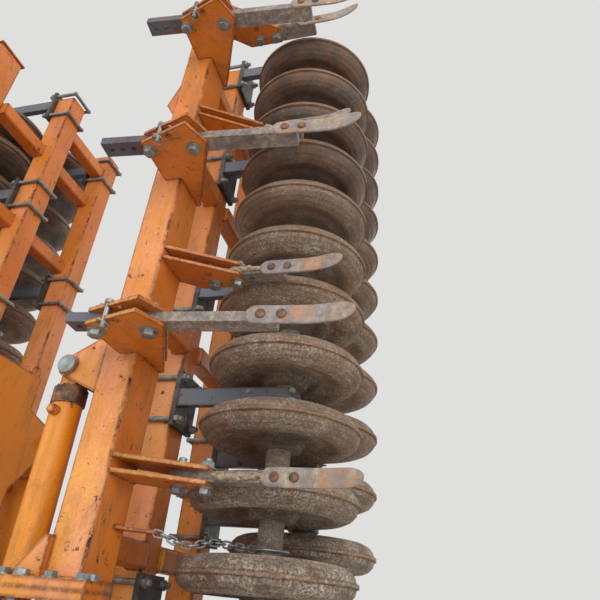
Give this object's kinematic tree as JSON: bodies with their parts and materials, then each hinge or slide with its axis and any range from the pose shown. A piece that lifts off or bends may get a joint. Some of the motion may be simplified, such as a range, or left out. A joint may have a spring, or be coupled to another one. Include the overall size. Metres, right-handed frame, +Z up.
{
  "type": "folding tine and ring press harrow",
  "caption": "Towed harrow with wings folded upright; each wing has a beam with two rows of tines and two intermeshing gangs of soil rings, on a frame with wheels, drawbar and parking jack.",
  "frame": {"origin": "on the floor in the middle of the machine's box", "axes": "+X to the machine's left, +Y to the rear, +Z up; the hitch points along -Y"},
  "size_m": [2.8326, 4.8779, 4.154],
  "materials": {
    "orange_paint": "gloss paint with dust, chips and rust at the edges",
    "yellow_paint": "gloss paint with dust and oil stains",
    "grey_paint": "blue-grey paint worn to steel, with dried soil",
    "bare_steel": "greasy turned steel with light rust",
    "chrome_rod": "ground and chromed ram rod",
    "plated_steel": "zinc plated clamp rods, plates and nuts, dulled",
    "worn_steel": "soil polished steel with rust",
    "muddy_iron": "rusted iron with dried mud",
    "tyre_rubber": "black rubber with dust"
  },
  "bodies": {
    "chassis": {"draw_beam": "orange_paint", "hitch_eye": "bare_steel", "jack_tube": "orange_paint", "centre_frame": "orange_paint", "tower": "yellow_paint", "hinge_pins": "bare_steel"},
    "jack": {"jack_leg": "bare_steel"},
    "axle": {"axle_frame": "orange_paint"},
    "wheel_left": {"rim_left": "yellow_paint", "tyre_left": "tyre_rubber"},
    "wheel_right": {"rim_right": "yellow_paint", "tyre_right": "tyre_rubber"},
    "wing_left": {"main_beam_left": "orange_paint", "wing_frame_left": "orange_paint", "tine_plates_left": "orange_paint", "front_tines_left": "grey_paint", "rear_tines_left": "grey_paint", "shares_left": "worn_steel", "gang_arms_left": "grey_paint", "clamps_left": "plated_steel", "lock_chain_left": "plated_steel"},
    "front_gang_left": {"front_rings_left": "muddy_iron", "front_tube_left": "muddy_iron"},
    "rear_gang_left": {"rear_rings_left": "muddy_iron", "rear_tube_left": "muddy_iron"},
    "fold_barrel_left": {"fold_barrel_left": "yellow_paint"},
    "fold_rod_left": {"fold_rod_left": "chrome_rod"},
    "wing_right": {"main_beam_right": "orange_paint", "wing_frame_right": "orange_paint", "tine_plates_right": "orange_paint", "front_tines_right": "grey_paint", "rear_tines_right": "grey_paint", "shares_right": "worn_steel", "gang_arms_right": "grey_paint", "clamps_right": "plated_steel", "lock_chain_right": "plated_steel"},
    "front_gang_right": {"front_rings_right": "muddy_iron", "front_tube_right": "muddy_iron"},
    "rear_gang_right": {"rear_rings_right": "muddy_iron", "rear_tube_right": "muddy_iron"},
    "fold_barrel_right": {"fold_barrel_right": "yellow_paint"},
    "fold_rod_right": {"fold_rod_right": "chrome_rod"},
    "lift_barrel": {"lift_barrel": "yellow_paint"},
    "lift_rod": {"lift_rod": "chrome_rod"}
  },
  "joints": [
    {"name": "jack_slide", "type": "slide", "parent": "chassis", "child": "jack", "axis": [0, 0, 1], "range_m": [0, 0.37]},
    {"name": "axle_lift", "type": "hinge", "parent": "chassis", "child": "axle", "pos_m": [0, 0.379, 0.81], "axis": [1, 0, 0], "range_deg": [0, 12]},
    {"name": "wheel_left_spin", "type": "hinge", "parent": "axle", "child": "wheel_left", "pos_m": [0.88, 1.979, 0.46], "axis": [1, 0, 0], "continuous": true},
    {"name": "wheel_right_spin", "type": "hinge", "parent": "axle", "child": "wheel_right", "pos_m": [-0.88, 1.979, 0.46], "axis": [1, 0, 0], "continuous": true},
    {"name": "wing_left_fold", "type": "hinge", "parent": "chassis", "child": "wing_left", "pos_m": [0.415, 0.28, 1.04], "axis": [0, 1, 0], "range_deg": [0, 90]},
    {"name": "front_gang_left_spin", "type": "hinge", "parent": "wing_left", "child": "front_gang_left", "pos_m": [1.035, 0.679, 2.3], "axis": [0, 0, 1], "continuous": true},
    {"name": "rear_gang_left_spin", "type": "hinge", "parent": "wing_left", "child": "rear_gang_left", "pos_m": [1.035, 1.129, 2.3], "axis": [0, 0, 1], "continuous": true},
    {"name": "fold_barrel_left_swing", "type": "hinge", "parent": "wing_left", "child": "fold_barrel_left", "pos_m": [0.475, 0.196, 2.004], "axis": [0, -1, 0], "range_deg": [-0.1, 1.1]},
    {"name": "fold_rod_left_slide", "type": "slide", "parent": "fold_barrel_left", "child": "fold_rod_left", "axis": [0.0236, 0, -0.9997], "range_m": [-0.1812, 0.001]},
    {"name": "wing_right_fold", "type": "hinge", "parent": "chassis", "child": "wing_right", "pos_m": [-0.415, 0.28, 1.04], "axis": [0, -1, 0], "range_deg": [0, 90]},
    {"name": "front_gang_right_spin", "type": "hinge", "parent": "wing_right", "child": "front_gang_right", "pos_m": [-1.035, 0.679, 2.3], "axis": [0, 0, 1], "continuous": true},
    {"name": "rear_gang_right_spin", "type": "hinge", "parent": "wing_right", "child": "rear_gang_right", "pos_m": [-1.035, 1.129, 2.3], "axis": [0, 0, 1], "continuous": true},
    {"name": "fold_barrel_right_swing", "type": "hinge", "parent": "wing_right", "child": "fold_barrel_right", "pos_m": [-0.475, 0.196, 2.004], "axis": [0, 1, 0], "range_deg": [-0.1, 1.1]},
    {"name": "fold_rod_right_slide", "type": "slide", "parent": "fold_barrel_right", "child": "fold_rod_right", "axis": [-0.0236, 0, -0.9997], "range_m": [-0.1812, 0.001]},
    {"name": "lift_barrel_swing", "type": "hinge", "parent": "chassis", "child": "lift_barrel", "pos_m": [0, 0.607, 1.882], "axis": [1, 0, 0], "range_deg": [-0.6, 0.1]},
    {"name": "lift_rod_slide", "type": "slide", "parent": "lift_barrel", "child": "lift_rod", "axis": [0, 0.2952, -0.9554], "range_m": [-0.113, 0.001]}
  ],
  "couplings": [
    {"joint": "fold_barrel_left_swing", "follows": "wing_left_fold", "ratio": 0.01031},
    {"joint": "fold_rod_left_slide", "follows": "wing_left_fold", "m_per_rad": -0.11434},
    {"joint": "fold_barrel_right_swing", "follows": "wing_right_fold", "ratio": 0.01031},
    {"joint": "fold_rod_right_slide", "follows": "wing_right_fold", "m_per_rad": -0.11434},
    {"joint": "lift_barrel_swing", "follows": "axle_lift", "ratio": -0.030858},
    {"joint": "lift_rod_slide", "follows": "axle_lift", "m_per_rad": -0.53329}
  ]
}
